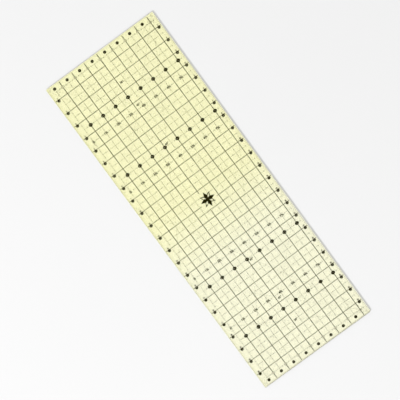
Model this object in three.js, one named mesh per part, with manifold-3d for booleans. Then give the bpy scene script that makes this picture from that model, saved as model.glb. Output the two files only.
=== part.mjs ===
// Quilting ruler, 8 1/2 by 24 inches: a clear acrylic plate, the marks printed on its
// underside in several screen passes, and a clear non-slip film over the print.
//
// Millimetres. X runs across the width, Y along the length, Z up. The origin is at the
// middle of the underside, so the ruler lies on the plane z = 0.

import * as THREE from "three";
import { mergeVertices } from "three/addons/utils/BufferGeometryUtils.js";
import Module from "manifold-3d";

const wasm = await Module();
wasm.setup();

// ---- Driving dimensions --------------------------------------------------------------

const INCH = 25.4;

const RULER_INCHES = { width: 8.5, length: 24 };
const WIDTH = RULER_INCHES.width * INCH;
const LENGTH = RULER_INCHES.length * INCH;
const CORNER_RADIUS = 2;

const FILM_THICKNESS = 0.15;
const FILM_INSET = 0.3;
const INK_THICKNESS = 0.04;
const LAYER_GAP = 0.02;
const BLOCK_HEIGHT = 2;
const PLATE_THICKNESS = 3;
const EDGE_BREAK = 0.25;

// Each screen pass is its own thin layer, from the film up to the plate.
const ANGLE_INK_Z = FILM_THICKNESS + LAYER_GAP;
const FINE_INK_Z = ANGLE_INK_Z + INK_THICKNESS + LAYER_GAP;
const BOLD_INK_Z = FINE_INK_Z + INK_THICKNESS + LAYER_GAP;
const PLATE_Z = BOLD_INK_Z + INK_THICKNESS + LAYER_GAP;

const INCH_LINE_WIDTH = 0.65;
const FINE_LINE_WIDTH = 0.25;

// Where the lines stop short of the plate's edges, in inches.
const ACROSS_MARGIN = 0.04;
const ALONG_MARGIN = 0.08;
const FINE_ALONG_MARGIN = 0.42;

// Places, in inches across and along, where the bold grid is left open: a break in the
// line one inch from the first end, and a clear patch round the emblem.
const FIRST_LINE_BREAK = { left: 4.08, right: 4.4, first: 0.9, last: 1.1 };
const EMBLEM_PATCH = { left: 3.6, right: 4.9, first: 11.22, last: 12.42 };
const EMBLEM_CENTRE = { across: 4.25, along: 11.83 };
const EMBLEM_RADIUS = 13.5;
const EMBLEM_POINTS = 8;
const EMBLEM_OPENING = 0.6;

// Number dots. Places are in inches, radii in millimetres.
const END_DOT = { radius: 2.6, fromEnd: 0.28 };
const SIDE_DOT = { radius: 2.55, fromLeft: 0.27, fromRight: 0.235, pastLine: 0.06 };
const OVAL_DOT = { halfWidth: 3.4, halfLength: 2.9, along: [3.5, 7.5, 16.5, 20.5] };
const DOT_SIDES = 12;
const END_DOT_SIDES = 16;

// Guide lines run from every corner, at these angles to the short edge, to the far long edge.
const GUIDE_ANGLES = [30, 45, 60];
const GUIDE_START = 6;
const GUIDE_END = 1;

const wholeInchesAcross = countUp(1, Math.floor(RULER_INCHES.width));
const wholeInchesAlong = countUp(1, RULER_INCHES.length - 1);
const halfInchesAcross = wholeInchesAcross.map((inch) => inch - 0.5);
const halfInchesAlong = countUp(1, RULER_INCHES.length).map((inch) => inch - 0.5);

// ---- Small helpers -------------------------------------------------------------------

function countUp(first, last) {
  return Array.from({ length: last - first + 1 }, (_, i) => first + i);
}

// The ruler's own scales: inches from its left edge, and inches from its first end.
function acrossToX(inches) {
  return inches * INCH - WIDTH / 2;
}

function alongToY(inches) {
  return LENGTH / 2 - inches * INCH;
}

function toSolid(geometry) {
  geometry.deleteAttribute("normal");
  geometry.deleteAttribute("uv");
  const merged = mergeVertices(geometry, 1e-4);
  return new wasm.Manifold(
    new wasm.Mesh({
      numProp: 3,
      vertProperties: new Float32Array(merged.attributes.position.array),
      triVerts: new Uint32Array(merged.index.array),
    }),
  );
}

function toGeometry(solid) {
  const mesh = solid.getMesh();
  const geometry = new THREE.BufferGeometry();
  geometry.setAttribute("position", new THREE.BufferAttribute(mesh.vertProperties, 3));
  geometry.setIndex(new THREE.BufferAttribute(mesh.triVerts, 1));
  geometry.computeVertexNormals();
  return geometry;
}

function joined(solids) {
  return solids.reduce((whole, solid) => whole.add(solid));
}

function part(name, geometry, material) {
  const mesh = new THREE.Mesh(geometry, new THREE.MeshStandardMaterial(material));
  mesh.name = name;
  return mesh;
}

const blackInk = { color: 0x17160f, roughness: 0.55, metalness: 0 };

const clearAcrylic = {
  color: 0xf6f3bd,
  roughness: 0.08,
  metalness: 0,
  transparent: true,
  opacity: 0.4,
};

const clearFilm = {
  color: 0xf4f3dc,
  roughness: 0.6,
  metalness: 0,
  transparent: true,
  opacity: 0.3,
};

// A rectangle with rounded corners, centred on the origin.
function roundedRectangle(width, length, radius) {
  const x = width / 2;
  const y = length / 2;
  const shape = new THREE.Shape();
  shape.moveTo(-x + radius, -y);
  shape.lineTo(x - radius, -y);
  shape.absarc(x - radius, -y + radius, radius, -Math.PI / 2, 0);
  shape.lineTo(x, y - radius);
  shape.absarc(x - radius, y - radius, radius, 0, Math.PI / 2);
  shape.lineTo(-x + radius, y);
  shape.absarc(-x + radius, y - radius, radius, Math.PI / 2, Math.PI);
  shape.lineTo(-x, -y + radius);
  shape.absarc(-x + radius, -y + radius, radius, Math.PI, 1.5 * Math.PI);
  return shape;
}

// ---- Ink shapes ----------------------------------------------------------------------

// Marks are drawn as blocks of BLOCK_HEIGHT through the plane z = 0, joined, and then sliced
// to INK_THICKNESS, so that every mark of a screen pass has the same two faces.

function line(x0, y0, x1, y1, width) {
  const run = Math.hypot(x1 - x0, y1 - y0);
  const block = new THREE.BoxGeometry(run, width, BLOCK_HEIGHT);
  block.rotateZ(Math.atan2(y1 - y0, x1 - x0));
  block.translate((x0 + x1) / 2, (y0 + y1) / 2, 0);
  return toSolid(block);
}

function spot(x, y, halfWidth, halfLength) {
  const block = new THREE.CylinderGeometry(1, 1, BLOCK_HEIGHT, DOT_SIDES);
  block.rotateX(Math.PI / 2);
  block.scale(halfWidth, halfLength, 1);
  block.translate(x, y, 0);
  return toSolid(block);
}

// A block that clears a patch of the print, given in inches across and along.
function clearPatch(left, right, first, last) {
  const box = new THREE.BoxGeometry((right - left) * INCH, (last - first) * INCH, 2 * BLOCK_HEIGHT);
  box.translate(acrossToX((left + right) / 2), alongToY((first + last) / 2), 0);
  return toSolid(box);
}

// One screen pass: the marks sliced to one ink layer, lying at the height z.
function printedLayer(name, marks, z) {
  const slab = new THREE.BoxGeometry(WIDTH, LENGTH, INK_THICKNESS);
  slab.translate(0, 0, INK_THICKNESS / 2);
  const layer = part(name, toGeometry(marks.intersect(toSolid(slab))), blackInk);
  layer.position.z = z;
  return layer;
}

// ---- Sub-parts -----------------------------------------------------------------------

function acrylicPlate() {
  const outline = roundedRectangle(
    WIDTH - 2 * EDGE_BREAK,
    LENGTH - 2 * EDGE_BREAK,
    CORNER_RADIUS - EDGE_BREAK,
  );
  const geometry = new THREE.ExtrudeGeometry(outline, {
    depth: PLATE_THICKNESS - 2 * EDGE_BREAK,
    bevelThickness: EDGE_BREAK,
    bevelSize: EDGE_BREAK,
    bevelSegments: 1,
    curveSegments: 6,
  });
  geometry.translate(0, 0, PLATE_Z + EDGE_BREAK);
  return part("acrylic_plate", geometry, clearAcrylic);
}

function nonslipFilm() {
  const outline = roundedRectangle(
    WIDTH - 2 * FILM_INSET,
    LENGTH - 2 * FILM_INSET,
    CORNER_RADIUS - FILM_INSET,
  );
  const geometry = new THREE.ExtrudeGeometry(outline, {
    depth: FILM_THICKNESS,
    bevelEnabled: false,
    curveSegments: 6,
  });
  return part("nonslip_film", geometry, clearFilm);
}

// Lines along and across the ruler at the given inches, as one connected lattice.
function lattice(across, along, width, alongMargin) {
  const firstY = alongToY(alongMargin);
  const lastY = alongToY(RULER_INCHES.length - alongMargin);
  const leftX = acrossToX(ACROSS_MARGIN);
  const rightX = acrossToX(RULER_INCHES.width - ACROSS_MARGIN);
  const lengthwise = across.map((inch) =>
    line(acrossToX(inch), firstY, acrossToX(inch), lastY, width),
  );
  const crosswise = along.map((inch) =>
    line(leftX, alongToY(inch), rightX, alongToY(inch), width),
  );
  return joined([...lengthwise, ...crosswise]);
}

// The dots beside both long edges, one pair just past every inch line.
function sideDots() {
  const columns = [SIDE_DOT.fromLeft, RULER_INCHES.width - SIDE_DOT.fromRight];
  return wholeInchesAlong.flatMap((inch) =>
    columns.map((across) =>
      spot(
        acrossToX(across),
        alongToY(inch + SIDE_DOT.pastLine),
        SIDE_DOT.radius,
        SIDE_DOT.radius,
      ),
    ),
  );
}

// Rows of oval number dots on the lengthwise lines.
function ovalDots() {
  return OVAL_DOT.along.flatMap((along) =>
    wholeInchesAcross.map((inch) =>
      spot(acrossToX(inch), alongToY(along), OVAL_DOT.halfWidth, OVAL_DOT.halfLength),
    ),
  );
}

function inchGridInk() {
  const grid = lattice(wholeInchesAcross, wholeInchesAlong, INCH_LINE_WIDTH, ALONG_MARGIN);
  const clearings = [FIRST_LINE_BREAK, EMBLEM_PATCH].map((patch) =>
    clearPatch(patch.left, patch.right, patch.first, patch.last),
  );
  const marks = joined([grid, ...sideDots(), ...ovalDots()]).subtract(joined(clearings));
  return printedLayer("inch_grid_ink", marks, BOLD_INK_Z);
}

function halfInchGridInk() {
  const grid = lattice(halfInchesAcross, halfInchesAlong, FINE_LINE_WIDTH, FINE_ALONG_MARGIN);
  return printedLayer("half_inch_grid_ink", grid, FINE_INK_Z);
}

// Each guide line starts near a corner and crosses to the opposite long edge.
function angleGuideInk() {
  const lines = [];
  for (const degrees of GUIDE_ANGLES) {
    const angle = THREE.MathUtils.degToRad(degrees);
    const end = (WIDTH - GUIDE_END) / Math.cos(angle);
    for (const sideX of [-1, 1]) {
      for (const sideY of [-1, 1]) {
        const at = (distance) => [
          sideX * (WIDTH / 2 - distance * Math.cos(angle)),
          sideY * (LENGTH / 2 - distance * Math.sin(angle)),
        ];
        lines.push(line(...at(GUIDE_START), ...at(end), FINE_LINE_WIDTH));
      }
    }
  }
  return printedLayer("angle_guide_ink", joined(lines), ANGLE_INK_Z);
}

// An eight-diamond patchwork star: every second diamond is solid, the others are outlines.
function emblemInk() {
  const sector = (2 * Math.PI) / EMBLEM_POINTS;
  const notchRadius = EMBLEM_RADIUS / (2 * Math.cos(sector / 2));
  const polar = (radius, angle) =>
    new THREE.Vector2(radius * Math.cos(angle), radius * Math.sin(angle));

  const tips = countUp(0, EMBLEM_POINTS - 1).map((i) => i * sector);
  const star = new THREE.Shape(
    tips.flatMap((angle) => [
      polar(EMBLEM_RADIUS, angle),
      polar(notchRadius, angle + sector / 2),
    ]),
  );
  for (const angle of tips.filter((_, i) => i % 2 === 1)) {
    const middle = polar(EMBLEM_RADIUS / 2, angle);
    const diamond = [
      polar(0, 0),
      polar(notchRadius, angle - sector / 2),
      polar(EMBLEM_RADIUS, angle),
      polar(notchRadius, angle + sector / 2),
    ];
    star.holes.push(
      new THREE.Path(diamond.map((corner) => corner.lerp(middle, 1 - EMBLEM_OPENING))),
    );
  }
  const geometry = new THREE.ExtrudeGeometry(star, {
    depth: INK_THICKNESS,
    bevelEnabled: false,
  });
  const x = acrossToX(EMBLEM_CENTRE.across);
  const y = alongToY(EMBLEM_CENTRE.along);
  geometry.translate(x, y, BOLD_INK_Z);
  return part("emblem_ink", geometry, blackInk);
}

// One loose dot between each pair of lengthwise lines, at both ends.
function endDots() {
  const ends = [
    { name: "first_end_dot_", along: END_DOT.fromEnd },
    { name: "far_end_dot_", along: RULER_INCHES.length - END_DOT.fromEnd },
  ];
  return ends.flatMap(({ name, along }) =>
    halfInchesAcross.map((across, i) => {
      const geometry = new THREE.CylinderGeometry(
        END_DOT.radius,
        END_DOT.radius,
        INK_THICKNESS,
        END_DOT_SIDES,
      );
      geometry.rotateX(Math.PI / 2);
      const dot = part(name + (i + 1), geometry, blackInk);
      dot.position.set(acrossToX(across), alongToY(along), BOLD_INK_Z + INK_THICKNESS / 2);
      return dot;
    }),
  );
}

// ---- Assembly ------------------------------------------------------------------------

const print = new THREE.Group();
print.add(inchGridInk(), halfInchGridInk(), angleGuideInk(), emblemInk(), ...endDots());

const ruler = new THREE.Group();
ruler.add(acrylicPlate(), print, nonslipFilm());

export default ruler;
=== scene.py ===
"""Looks for the quilting ruler: the tinted acrylic plate, its printed marks and the non-slip film.

Everything is in metres, in the CAD frame: X across the width, Y along the length, Z up.
Places on the scale are given in inches, as on the ruler: across from the left edge and
along from the first end.
"""

import functools
import math

import bmesh
import bpy
from mathutils import Matrix, Vector
from mathutils.geometry import delaunay_2d_cdt


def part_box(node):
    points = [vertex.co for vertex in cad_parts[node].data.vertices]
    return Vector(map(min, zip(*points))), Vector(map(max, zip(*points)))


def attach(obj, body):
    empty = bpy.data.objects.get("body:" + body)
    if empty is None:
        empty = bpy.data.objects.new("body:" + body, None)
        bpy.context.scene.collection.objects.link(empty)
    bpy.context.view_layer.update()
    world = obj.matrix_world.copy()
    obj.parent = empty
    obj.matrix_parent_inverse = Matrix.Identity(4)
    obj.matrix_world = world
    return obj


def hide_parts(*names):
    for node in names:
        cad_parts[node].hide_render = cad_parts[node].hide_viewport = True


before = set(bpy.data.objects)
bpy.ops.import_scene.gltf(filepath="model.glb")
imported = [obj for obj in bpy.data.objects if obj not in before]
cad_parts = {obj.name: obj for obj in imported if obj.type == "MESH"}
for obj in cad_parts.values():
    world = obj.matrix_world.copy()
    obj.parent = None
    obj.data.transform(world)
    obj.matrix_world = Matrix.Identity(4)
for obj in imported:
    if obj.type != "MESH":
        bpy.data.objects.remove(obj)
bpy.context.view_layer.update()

MM = 0.001
INCH = 0.0254

# ---- Sizes from the frame ------------------------------------------------------------

plate_low, plate_high = (Vector(corner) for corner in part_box("acrylic_plate"))
bold_low, bold_high = (corner[2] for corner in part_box("inch_grid_ink"))
fine_low, fine_high = (corner[2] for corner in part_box("half_inch_grid_ink"))
guide_low, guide_high = (corner[2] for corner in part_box("angle_guide_ink"))
emblem_low, emblem_high = (Vector(corner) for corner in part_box("emblem_ink"))

WIDTH_INCHES = (plate_high.x - plate_low.x) / INCH
LENGTH_INCHES = round((plate_high.y - plate_low.y) / INCH)
INCHES_ACROSS = range(1, int(WIDTH_INCHES) + 1)
INCHES_ALONG = range(1, LENGTH_INCHES)


def across(inches):
    return plate_low.x + inches * INCH


def along(inches):
    return plate_high.y - inches * INCH


# ---- Camera, light and floor ---------------------------------------------------------

CAMERA_PLACE = Vector((0.0196, 0.0663, 1.5))
CAMERA_AIM = Vector((-0.011, 0.0107, 0.0))
CAMERA_TURN = math.radians(36.26)
CAMERA_LENS = 82.09

FLOOR_SIZE = 60.0
FLOOR_DROP = 0.0002

# The one lamp, in metres and watts.
KEY_DIRECTION = (-0.95, -0.38, 1.0)
KEY_DISTANCE = 11.0
KEY_SIZE = (2.6, 2.6)
KEY_POWER = 1890

# The tent's brightness by the height of the direction, from the horizon, 0, to the top, 1.
TENT_STRENGTH = 1.215
TENT_BANDS = ((0.0, 0.14), (0.35, 0.24), (0.55, 1.0), (0.8, 1.0), (0.9, 0.0))


def aimed(place, aim, up):
    """The turn that looks from place to aim with up upwards in the picture."""
    back = (place - aim).normalized()
    right = up.cross(back).normalized()
    return Matrix((right, back.cross(right), back)).transposed().to_euler()


def make_camera():
    data = bpy.data.cameras.new("camera")
    data.sensor_width = 36
    data.lens = CAMERA_LENS
    data.clip_start = 0.01
    data.clip_end = 50
    camera = bpy.data.objects.new("camera", data)
    bpy.context.scene.collection.objects.link(camera)
    camera.location = CAMERA_PLACE
    up = Vector((math.sin(CAMERA_TURN), math.cos(CAMERA_TURN), 0))
    camera.rotation_euler = aimed(CAMERA_PLACE, CAMERA_AIM, up)
    bpy.context.scene.camera = camera


def softbox(name, direction, distance, size, power):
    """A soft lamp aimed at the middle. Glass shows no mirror image of it over the print."""
    data = bpy.data.lights.new(name, "AREA")
    data.shape = "RECTANGLE"
    data.size, data.size_y = size
    data.energy = power
    lamp = bpy.data.objects.new(name, data)
    bpy.context.scene.collection.objects.link(lamp)
    lamp.location = Vector(direction).normalized() * distance
    lamp.rotation_euler = aimed(lamp.location, Vector((0, 0, 0)), Vector((0, 1, 0)))
    lamp.visible_glossy = False
    lamp.visible_transmission = False


def make_lights():
    softbox("key", KEY_DIRECTION, KEY_DISTANCE, KEY_SIZE, KEY_POWER)
    make_tent()
    bpy.context.scene.view_settings.view_transform = "Standard"


def make_tent():
    """A round light tent: brightest half-way up, dim low down, dark at the top."""
    world = bpy.data.worlds.new("tent")
    world.use_nodes = True
    nodes, links = world.node_tree.nodes, world.node_tree.links
    direction = nodes.new("ShaderNodeSeparateXYZ")
    links.new(nodes.new("ShaderNodeTexCoord").outputs["Generated"], direction.inputs[0])
    bands = nodes.new("ShaderNodeValToRGB")
    links.new(direction.outputs["Z"], bands.inputs["Fac"])
    ramp = bands.color_ramp
    while len(ramp.elements) < len(TENT_BANDS):
        ramp.elements.new(0.5)
    for stop, (height, light) in zip(ramp.elements, TENT_BANDS):
        stop.position = height
        stop.color = (light, light, light, 1)
    background = nodes["Background"]
    links.new(bands.outputs["Color"], background.inputs["Color"])
    background.inputs["Strength"].default_value = TENT_STRENGTH
    bpy.context.scene.world = world


# ---- Shader helpers ------------------------------------------------------------------


class Shader:
    """A material's node tree, with short calls for the nodes used here."""

    def __init__(self, name):
        self.material = bpy.data.materials.new(name)
        self.material.use_nodes = True
        self.tree = self.material.node_tree
        self.surface = self.tree.nodes["Principled BSDF"]
        self.place = self.tree.nodes.new("ShaderNodeTexCoord").outputs["Object"]

    def feed(self, node, name, value):
        """Links an input to a socket, or sets it to a constant."""
        if isinstance(value, bpy.types.NodeSocket):
            self.tree.links.new(value, node.inputs[name])
        else:
            node.inputs[name].default_value = value

    def add(self, kind, settings=None, **inputs):
        """A new node. Inputs are written with _ for each space in their names."""
        node = self.tree.nodes.new(kind)
        for name, value in (settings or {}).items():
            setattr(node, name, value)
        for name, value in inputs.items():
            self.feed(node, name.replace("_", " "), value)
        return node

    def set(self, **inputs):
        for name, value in inputs.items():
            self.feed(self.surface, name.replace("_", " "), value)

    def stretched(self, scale):
        return self.add("ShaderNodeMapping", Vector=self.place, Scale=scale).outputs["Vector"]

    def noise(self, scale, detail=3.0, vector=None):
        node = self.add(
            "ShaderNodeTexNoise", Vector=vector or self.place, Scale=scale, Detail=detail
        )
        return node.outputs["Fac"]

    def ramp(self, value, low, high, at=(0.3, 0.7)):
        """A number that goes from low to high as value goes between the two places in at."""
        node = self.add("ShaderNodeMapRange", Value=value)
        node.inputs["From Min"].default_value, node.inputs["From Max"].default_value = at
        node.inputs["To Min"].default_value = low
        node.inputs["To Max"].default_value = high
        return node.outputs["Result"]

    def mix(self, factor, first, second):
        node = self.add("ShaderNodeMix", {"data_type": "RGBA"})
        colour_inputs = [socket for socket in node.inputs if socket.type == "RGBA"]
        self.tree.links.new(factor, node.inputs["Factor"])
        for socket, colour in zip(colour_inputs, (first, second)):
            socket.default_value = (*colour, 1)
        return next(socket for socket in node.outputs if socket.type == "RGBA")

    def let_light_through(self, tint):
        """Shadow and diffuse rays pass straight through, tinted; all others see the glass."""
        path = self.add("ShaderNodeLightPath")
        passing = self.add("ShaderNodeMath", {"operation": "MAXIMUM"})
        self.tree.links.new(path.outputs["Is Shadow Ray"], passing.inputs[0])
        self.tree.links.new(path.outputs["Is Diffuse Ray"], passing.inputs[1])
        clear = self.add("ShaderNodeBsdfTransparent", Color=tint)
        either = self.add("ShaderNodeMixShader", Fac=passing.outputs["Value"])
        self.tree.links.new(self.surface.outputs["BSDF"], either.inputs[1])
        self.tree.links.new(clear.outputs["BSDF"], either.inputs[2])
        output = self.tree.nodes["Material Output"]
        self.tree.links.new(either.outputs["Shader"], output.inputs["Surface"])

    def bump(self, height, strength, distance):
        node = self.add("ShaderNodeBump", Strength=strength, Distance=distance, Height=height)
        self.tree.links.new(node.outputs["Normal"], self.surface.inputs["Normal"])


# ---- Materials -----------------------------------------------------------------------

# The tint of the plate, stronger near the first end; paler past the middle is painted glare.
STRONG_TINT = (0.985, 0.98, 0.64)
GLARE_PAINTED_TINT = (0.98, 0.98, 0.78)
PAINTED_GLARE_FADE = (0.02, -0.09)

# How much light the cut edges let through; the left edge passing more is painted lighter shade.
EDGE_SHADE = (0.52, 0.52, 0.48)
LEFT_EDGE_SHADE = (0.84, 0.84, 0.76)
LEFT_EDGE_REACH = (4 * MM, 2 * MM)

ACRYLIC_IOR = 1.49

INK_DARK = (0.008, 0.007, 0.001)
INK_LIGHT = (0.014, 0.012, 0.003)


def acrylic_face_material():
    shader = Shader("tinted_acrylic")
    smears = shader.noise(9.0, detail=4.0)
    lengthwise = shader.add("ShaderNodeSeparateXYZ", Vector=shader.place).outputs["Y"]
    # Painted glare: the tint is paler past the middle of the plate's length.
    painted_glare = shader.ramp(lengthwise, 0.0, 1.0, at=PAINTED_GLARE_FADE)
    shader.set(
        Base_Color=shader.mix(painted_glare, STRONG_TINT, GLARE_PAINTED_TINT),
        Roughness=shader.ramp(smears, 0.01, 0.04),
        IOR=ACRYLIC_IOR,
        Transmission_Weight=1.0,
    )
    shader.let_light_through((1.0, 0.998, 0.98, 1))
    return shader.material


def acrylic_edge_material():
    shader = Shader("cut_acrylic_edge")
    saw_marks = shader.noise(1.0, detail=2.0, vector=shader.stretched((2500, 2500, 120)))
    shader.set(
        Base_Color=shader.mix(saw_marks, (0.94, 0.94, 0.84), (0.86, 0.87, 0.76)),
        Roughness=shader.ramp(saw_marks, 0.12, 0.3),
        IOR=ACRYLIC_IOR,
        Transmission_Weight=1.0,
    )
    # Painted light: the left edge lets more light through, so the shade along it is lighter.
    crosswise = shader.add("ShaderNodeSeparateXYZ", Vector=shader.place).outputs["X"]
    fade = [plate_low.x + reach for reach in LEFT_EDGE_REACH]
    painted_lighter_left = shader.ramp(crosswise, 0.0, 1.0, at=fade)
    shader.let_light_through(shader.mix(painted_lighter_left, EDGE_SHADE, LEFT_EDGE_SHADE))
    shader.bump(saw_marks, 0.3, 0.03 * MM)
    return shader.material


def film_material():
    shader = Shader("nonslip_film")
    pebbles = shader.noise(1400.0, detail=1.0)
    shader.set(
        Base_Color=shader.mix(pebbles, (0.97, 0.96, 0.90), (0.99, 0.98, 0.93)),
        Roughness=shader.ramp(pebbles, 0.45, 0.65),
        Alpha=0.2,
    )
    shader.bump(pebbles, 0.25, 0.05 * MM)
    return shader.material


def ink_material(name, first, second):
    shader = Shader(name)
    grain = shader.noise(900.0)
    shader.set(
        Base_Color=shader.mix(grain, first, second),
        Roughness=shader.ramp(grain, 0.45, 0.6),
        Specular_IOR_Level=0.1,
    )
    shader.bump(grain, 0.15, 0.01 * MM)
    return shader.material


def floor_material():
    shader = Shader("pale_floor")
    mottle = shader.noise(3.0, detail=4.0)
    shader.set(
        Base_Color=shader.mix(mottle, (0.52, 0.52, 0.52), (0.53, 0.53, 0.53)),
        Roughness=0.9,
    )
    shader.surface.inputs["Specular IOR Level"].default_value = 0.2
    return shader.material


# ---- Mesh helpers --------------------------------------------------------------------


def mesh_from(name, vertices, faces):
    mesh = bpy.data.meshes.new(name)
    mesh.from_pydata(vertices, [], faces)
    mesh.validate()
    mesh.update()
    return mesh


def piece(name, mesh, materials, replaces=()):
    thing = bpy.data.objects.new(name, mesh)
    bpy.context.scene.collection.objects.link(thing)
    for material in materials:
        mesh.materials.append(material)
    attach(thing, "root")
    if replaces:
        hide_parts(*replaces)
    return thing


def printed_mesh(name, marks, reversals, low_z, high_z):
    """One layer of ink as a closed mesh between two heights.

    Marks are outlines filled with ink. Every reversal, an outline too, swaps ink and bare
    plate inside it: a numeral over a dot is left bare, and one beside it is printed.
    """
    outlines = [*marks, *reversals]
    points = [Vector(point) / MM for outline in outlines for point in outline]
    loops, first = [], 0
    for outline in outlines:
        loops.append(list(range(first, first + len(outline))))
        first += len(outline)
    places, _, pieces, _, _, sources = delaunay_2d_cdt(points, [], loops, 3, 1e-5, True)

    inked = []
    for loop, within in zip(pieces, sources):
        reversed_times = sum(source >= len(marks) for source in within)
        marked = len(within) > reversed_times
        if marked != (reversed_times % 2 == 1):
            inked.append(loop)
    sides = {(a, b) for loop in inked for a, b in zip(loop, loop[1:] + loop[:1])}
    walls = sorted((a, b) for a, b in sides if (b, a) not in sides)

    used = sorted({i for loop in inked for i in loop})
    low = {i: n for n, i in enumerate(used)}
    high = {i: n + len(used) for n, i in enumerate(used)}
    vertices = [(*places[i] * MM, z) for z in (low_z, high_z) for i in used]
    faces = [[high[i] for i in loop] for loop in inked]
    faces += [[low[i] for i in reversed(loop)] for loop in inked]
    faces += [(low[a], low[b], high[b], high[a]) for a, b in walls]
    return mesh_from(name, vertices, faces)


def block(x, y, half_width, half_length):
    """The outline of an upright rectangle round a centre."""
    left, right = x - half_width, x + half_width
    low, high = y - half_length, y + half_length
    return [(left, low), (right, low), (right, high), (left, high)]


def oval(x, y, half_width, half_length=None, sides=36):
    half_length = half_length or half_width
    angles = [2 * math.pi * i / sides for i in range(sides)]
    return [(x + half_width * math.cos(a), y + half_length * math.sin(a)) for a in angles]


def bar(x, y, angle, half_run, half_width):
    """The outline of a thin bar round a centre, turned by angle."""
    run = Vector((math.cos(angle), math.sin(angle))) * half_run
    side = Vector((-math.sin(angle), math.cos(angle))) * half_width
    middle = Vector((x, y))
    return [middle + corner for corner in (-run - side, run - side, run + side, side - run)]


# ---- Lettering: plain numbers only ---------------------------------------------------


@functools.cache
def glyph_faces(text, boldness):
    """The flat faces of a piece of text, centred, one unit high."""
    curve = bpy.data.curves.new("glyphs", "FONT")
    curve.body = text
    curve.offset = boldness
    curve.resolution_u = 3
    holder = bpy.data.objects.new("glyphs", curve)
    bpy.context.scene.collection.objects.link(holder)
    shaped = holder.evaluated_get(bpy.context.evaluated_depsgraph_get()).to_mesh()
    places = [vertex.co.xy for vertex in shaped.vertices]
    low = Vector(min(axis) for axis in zip(*places))
    high = Vector(max(axis) for axis in zip(*places))
    places = [(place - (low + high) / 2) / (high.y - low.y) for place in places]
    faces = [[places[i] for i in polygon.vertices] for polygon in shaped.polygons]
    bpy.data.objects.remove(holder)
    return faces


def number(text, x, y, height, boldness=0.025):
    """The outlines that make up one number of the scale, in its place."""
    middle = Vector((x, y))
    return [
        [middle + corner * height for corner in face] for face in glyph_faces(str(text), boldness)
    ]


# ---- The plate -----------------------------------------------------------------------

CORNER_RADIUS = 2.0 * MM
EDGE_RADIUS = 0.4 * MM
CORNER_STEPS = 10
EDGE_STEPS = 4


def rounded_outline(inset):
    """The plate's outline, pulled in by inset, anticlockwise."""
    radius = CORNER_RADIUS - inset
    points = []
    corners = [
        (plate_high.x, plate_low.y, -90),
        (plate_high.x, plate_high.y, 0),
        (plate_low.x, plate_high.y, 90),
        (plate_low.x, plate_low.y, 180),
    ]
    for x, y, start in corners:
        middle_x = x - math.copysign(CORNER_RADIUS, x)
        middle_y = y - math.copysign(CORNER_RADIUS, y)
        for step in range(CORNER_STEPS + 1):
            angle = math.radians(start + 90 * step / CORNER_STEPS)
            points.append(
                (middle_x + radius * math.cos(angle), middle_y + radius * math.sin(angle))
            )
    return points


def plate_mesh():
    """The acrylic plate with just-rounded edges: faces in material 0, edge in material 1."""
    rings = []
    for side, z in ((-1, plate_low.z), (1, plate_high.z)):
        for step in range(EDGE_STEPS + 1):
            turned = step / EDGE_STEPS if side < 0 else 1 - step / EDGE_STEPS
            angle = turned * math.pi / 2
            inset = EDGE_RADIUS * (1 - math.sin(angle))
            height = z - side * EDGE_RADIUS * (1 - math.cos(angle))
            rings.append([(x, y, height) for x, y in rounded_outline(inset)])
    count = len(rings[0])
    vertices = [vertex for ring in rings for vertex in ring]
    faces = [tuple(reversed(range(count))), tuple(range(len(vertices) - count, len(vertices)))]
    for ring in range(len(rings) - 1):
        for i in range(count):
            a, b = ring * count + i, ring * count + (i + 1) % count
            faces.append((a, b, b + count, a + count))
    mesh = mesh_from("acrylic_plate_clear", vertices, faces)
    for face in mesh.polygons:
        face.use_smooth = face.index > 1
        face.material_index = int(face.index > 1)
    return mesh


# ---- The print: lines ----------------------------------------------------------------

LENGTHWISE_LINE = 0.72 * MM
CROSS_LINE = 0.61 * MM
LINE_TICK = 0.36 * MM
EDGE_TICK = 0.14 * MM
FINE_LINE = 0.36 * MM
GUIDE_LINE = 0.22 * MM

# Where the inch lines stop short of the plate's edges, in inches.
ACROSS_MARGIN = 0.04
ALONG_MARGIN = 0.08
FIRST_LINE_BREAK = (4.08, 4.4)
EMBLEM_CLEARANCE = 0.06

# How long ticks are at a half, a quarter and an eighth of an inch.
LINE_TICKS = (1.6 * MM, 2.8 * MM, 1.3 * MM)
EDGE_TICKS = (2.6 * MM, 2.0 * MM, 1.5 * MM)
EDGE_TICK_MARGIN = 0.4 * MM

FINE_DASH = 2.3 * MM
FINE_ARM = 2.2 * MM

# How far the half-inch lines stay from the middle of a label, in inches.
LABEL_GAP_LENGTHWISE = 0.06
LABEL_GAP_CROSSWISE = 0.15

GUIDE_ANGLES = (30, 45, 60)
GUIDE_START = 6 * MM
GUIDE_END = 1 * MM
GUIDE_DASH = 3 * MM
GUIDE_GAP = 2.2 * MM
GUIDE_CLEARANCE = 5 * MM

emblem_across = [
    (emblem_low.x - plate_low.x) / INCH - EMBLEM_CLEARANCE,
    (emblem_high.x - plate_low.x) / INCH + EMBLEM_CLEARANCE,
]
emblem_along = [
    (plate_high.y - emblem_high.y) / INCH - EMBLEM_CLEARANCE,
    (plate_high.y - emblem_low.y) / INCH + EMBLEM_CLEARANCE,
]


def runs(first, last, gap):
    """A line from first to last, or what a gap leaves of it."""
    return [(first, gap[0]), (gap[1], last)] if gap else [(first, last)]


def eighths(first, last):
    """The eighths of an inch between two places, without the whole inches."""
    return [e for e in range(math.ceil(first * 8), int(last * 8) + 1) if e % 8]


def by_eighth(eighth, sizes):
    """The size for a tick at a half, a quarter or an eighth of an inch."""
    return sizes[0] if eighth % 4 == 0 else sizes[1] if eighth % 2 == 0 else sizes[2]


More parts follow.
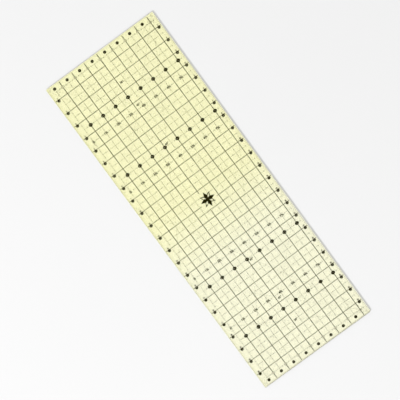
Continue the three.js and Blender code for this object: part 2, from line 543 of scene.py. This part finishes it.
def inch_lines():
    """The solid lines at every inch, along and across, with the ticks on the cross lines."""
    marks = []
    for inch in INCHES_ACROSS:
        gap = emblem_along if emblem_across[0] < inch < emblem_across[1] else None
        for first, last in runs(ALONG_MARGIN, LENGTH_INCHES - ALONG_MARGIN, gap):
            middle, reach = along((first + last) / 2), (last - first) / 2 * INCH
            marks.append(block(across(inch), middle, LENGTHWISE_LINE / 2, reach))
            for eighth in eighths(first, last):
                reach = by_eighth(eighth, LINE_TICKS) / 2
                marks.append(block(across(inch), along(eighth / 8), reach, LINE_TICK / 2))
    for inch in INCHES_ALONG:
        gap = FIRST_LINE_BREAK if inch == 1 else None
        if emblem_along[0] < inch < emblem_along[1]:
            gap = emblem_across
        for first, last in runs(ACROSS_MARGIN, WIDTH_INCHES - ACROSS_MARGIN, gap):
            middle, reach = across((first + last) / 2), (last - first) / 2 * INCH
            marks.append(block(middle, along(inch), reach, CROSS_LINE / 2))
            for eighth in eighths(first, last):
                reach = by_eighth(eighth, LINE_TICKS) / 2
                marks.append(block(across(eighth / 8), along(inch), LINE_TICK / 2, reach))
    return marks


def edge_ticks():
    """Ticks inwards from both long edges at every eighth of an inch."""
    marks = []
    for eighth in eighths(0.25, LENGTH_INCHES - 0.25):
        reach = by_eighth(eighth, EDGE_TICKS) / 2
        for edge, side in ((plate_low.x, 1), (plate_high.x, -1)):
            x = edge + side * (EDGE_TICK_MARGIN + reach)
            marks.append(block(x, along(eighth / 8), reach, EDGE_TICK / 2))
    return marks


def clear_of_label(inches_across, inches_along, gap):
    """Whether a place on a half-inch line is clear of the half-inch labels."""
    past_half = abs(inches_across % 1 - 0.5)
    past_row = min(abs(inches_along - at) for at in HALF_NUMBER_ALONG)
    return past_half > gap or past_row > LABEL_GAP_LENGTHWISE


def half_inch_lines():
    """Fine broken lines at the half inches: a dash at each eighth, a cross at each quarter."""
    marks = []
    for inch in [line - 0.5 for line in INCHES_ACROSS]:
        for eighth in eighths(0.5, LENGTH_INCHES - 0.5):
            if not clear_of_label(inch, eighth / 8, LABEL_GAP_LENGTHWISE):
                continue
            place = (across(inch), along(eighth / 8))
            marks.append(block(*place, FINE_LINE / 2, FINE_DASH / 2))
            if eighth % 2 == 0:
                marks.append(block(*place, FINE_ARM / 2, FINE_LINE / 2))
    for inch in [line - 0.5 for line in range(1, LENGTH_INCHES + 1)]:
        for eighth in eighths(0.5, WIDTH_INCHES - 0.25):
            if not clear_of_label(eighth / 8, inch, LABEL_GAP_CROSSWISE):
                continue
            place = (across(eighth / 8), along(inch))
            marks.append(block(*place, FINE_DASH / 2, FINE_LINE / 2))
            if eighth % 2 == 0:
                marks.append(block(*place, FINE_LINE / 2, FINE_ARM / 2))
    return marks


def guide_lines():
    """Dashed guide lines from every corner to the far long edge, left open at the labels."""
    width, length = plate_high.x - plate_low.x, plate_high.y - plate_low.y
    dashes = []
    for degrees in GUIDE_ANGLES:
        angle = math.radians(degrees)
        end = (width - GUIDE_END) / math.cos(angle)
        for side_x, side_y in ((-1, -1), (-1, 1), (1, -1), (1, 1)):
            turn = math.atan2(side_y * math.sin(angle), side_x * math.cos(angle))
            reach = GUIDE_START + GUIDE_DASH / 2
            while reach < end - GUIDE_DASH / 2:
                x = side_x * (width / 2 - reach * math.cos(angle))
                y = side_y * (length / 2 - reach * math.sin(angle))
                if abs(x) > GUIDE_CLEARANCE:
                    dashes.append(bar(x, y, turn, GUIDE_DASH / 2, GUIDE_LINE / 2))
                reach += GUIDE_DASH + GUIDE_GAP
    return dashes


# ---- The print: dots and numbers -----------------------------------------------------

# Places are in inches across and along, radii and heights in metres. Boldness is how much
# fatter than the font a number is, as a part of the font's size.
BARE_NUMBER_BOLDNESS = 0
SMALL_NUMBER_BOLDNESS = 0.07
HALF_NUMBER_BOLDNESS = 0.04
END_DOT_ALONG = 0.28
SIDE_DOT_LEFT = 0.27
SIDE_DOT_RIGHT = 0.235
SIDE_DOT_PAST = 0.06
SIDE_DOT_RADIUS = 2.55 * MM
SIDE_NUMBER = 1.9 * MM
OVAL_DOT_ALONG = (3.5, 7.5, 16.5, 20.5)
OVAL_DOT_SIZE = (3.4 * MM, 2.9 * MM)
OVAL_NUMBER = 2.6 * MM
END_NUMBER = 1.9 * MM

RING_ALONG = 0.47
RING_RADIUS = 2.3 * MM
RING_LINE = 0.35 * MM
RING_NUMBER = 2.4 * MM

HALF_NUMBER_ALONG = (4.5, 8.5, 15.5, 19.5)
HALF_NUMBER = 4.4 * MM
SMALL_NUMBER_BEFORE = 0.12
SMALL_NUMBER = 2.4 * MM
ANGLE_NUMBER = 3.8 * MM

STITCH_ROW_ALONG = 12.48
STITCH_ROW = (3.02, 5.46)
STITCH_COUNT = 26
STITCH_LEAN = math.radians(62)
STITCH_SIZE = (0.9 * MM, 0.3 * MM)


def both_ends(inches):
    return (inches, LENGTH_INCHES - inches)


def side_dots():
    """Dots beside both long edges, numbered from the far end, and small numbers from the first."""
    dots, numbers = [], []
    for inch in INCHES_ALONG:
        for x in (across(SIDE_DOT_LEFT), across(WIDTH_INCHES - SIDE_DOT_RIGHT)):
            y = along(inch + SIDE_DOT_PAST)
            dots.append(oval(x, y, SIDE_DOT_RADIUS))
            numbers += number(LENGTH_INCHES - inch, x, y, SIDE_NUMBER, BARE_NUMBER_BOLDNESS)
            y = along(inch - SMALL_NUMBER_BEFORE)
            numbers += number(inch, x, y, SMALL_NUMBER, SMALL_NUMBER_BOLDNESS)
    return dots, numbers


def oval_dots():
    """Rows of oval dots on the lengthwise lines, numbered from the right edge."""
    dots, numbers = [], []
    for at in OVAL_DOT_ALONG:
        for inch in INCHES_ACROSS:
            place = (across(inch), along(at))
            dots.append(oval(*place, *OVAL_DOT_SIZE))
            label = mixed(WIDTH_INCHES - inch)
            numbers += number(label, *place, OVAL_NUMBER, BARE_NUMBER_BOLDNESS)
    return dots, numbers


def rings():
    """Open rings on the lengthwise lines near both ends, numbered from the left edge."""
    marks, numbers = [], []
    for at in both_ends(RING_ALONG):
        for inch in INCHES_ACROSS:
            place = (across(inch), along(at))
            marks.append(oval(*place, RING_RADIUS))
            numbers.append(oval(*place, RING_RADIUS - RING_LINE))
            numbers += number(inch, *place, RING_NUMBER)
    return marks, numbers


def mixed(value):
    """A number of half inches as text."""
    whole = int(value)
    half = "½" if value > whole else ""
    return (str(whole) if whole else "") + half


def half_numbers():
    """Labels of the half-inch lines, numbered from the left edge."""
    labels = []
    for at in HALF_NUMBER_ALONG:
        for inch in INCHES_ACROSS:
            place = (across(inch - 0.5), along(at))
            labels += number(mixed(inch - 0.5), *place, HALF_NUMBER, HALF_NUMBER_BOLDNESS)
    return labels


def angle_numbers():
    """The angle of each guide line, where the guides from two corners cross."""
    labels = []
    for degrees in GUIDE_ANGLES:
        rise = WIDTH_INCHES / 2 * math.tan(math.radians(degrees))
        for at in both_ends(rise):
            labels += number(f"{degrees}°", across(WIDTH_INCHES / 2), along(at), ANGLE_NUMBER)
    return labels


def stitch_row():
    """A row of small slanted dashes below the emblem."""
    first, last = STITCH_ROW
    return [
        bar(
            across(first + (last - first) * (i + 0.5) / STITCH_COUNT),
            along(STITCH_ROW_ALONG),
            STITCH_LEAN,
            *STITCH_SIZE,
        )
        for i in range(STITCH_COUNT)
    ]


def make_print(ink):
    side_marks, side_numbers = side_dots()
    oval_marks, oval_numbers = oval_dots()
    ring_marks, ring_numbers = rings()
    bold_marks = inch_lines() + edge_ticks() + side_marks + oval_marks + ring_marks
    bold_numbers = side_numbers + oval_numbers + ring_numbers
    layers = [
        (
            "bold_print",
            "inch_grid_ink",
            bold_marks + stitch_row(),
            bold_numbers,
            (bold_low, bold_high),
        ),
        (
            "fine_print",
            "half_inch_grid_ink",
            half_inch_lines(),
            half_numbers(),
            (fine_low, fine_high),
        ),
        (
            "guide_print",
            "angle_guide_ink",
            guide_lines(),
            angle_numbers(),
            (guide_low, guide_high),
        ),
    ]
    for name, node, marks, numbers, heights in layers:
        mesh = printed_mesh(name, marks, numbers, *heights)
        piece(name, mesh, [ink], [node])


def make_end_dots(ink):
    """The loose dots at both ends, numbered from the right edge."""
    for end, at in zip(("first", "far"), both_ends(END_DOT_ALONG)):
        for inch in INCHES_ACROSS:
            node = f"{end}_end_dot_{inch}"
            low, high = (Vector(corner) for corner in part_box(node))
            middle = (low + high) / 2
            dot = oval(middle.x, middle.y, (high.x - low.x) / 2)
            text = len(INCHES_ACROSS) + 1 - inch
            label = number(text, middle.x, middle.y, END_NUMBER, BARE_NUMBER_BOLDNESS)
            mesh = printed_mesh(f"{end}_end_number_{inch}", [dot], label, low.z, high.z)
            piece(mesh.name, mesh, [ink], [node])


# ---- Making it all -------------------------------------------------------------------


def finish_node(name, material):
    """Gives a CAD node that stays its finished material."""
    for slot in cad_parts[name].material_slots:
        slot.material = material


def make_floor():
    half = FLOOR_SIZE / 2
    corners = [(x, y, -FLOOR_DROP) for x, y in block(0, 0, half, half)]
    floor = bpy.data.objects.new("floor", mesh_from("floor", corners, [(0, 1, 2, 3)]))
    bpy.context.scene.collection.objects.link(floor)
    floor.data.materials.append(floor_material())


make_camera()
make_lights()
make_floor()

black_ink = ink_material("black_ink", INK_DARK, INK_LIGHT)
finish_node("emblem_ink", black_ink)
finish_node("nonslip_film", film_material())
piece(
    "acrylic_plate_clear",
    plate_mesh(),
    [acrylic_face_material(), acrylic_edge_material()],
    ["acrylic_plate"],
)
make_print(black_ink)
make_end_dots(black_ink)
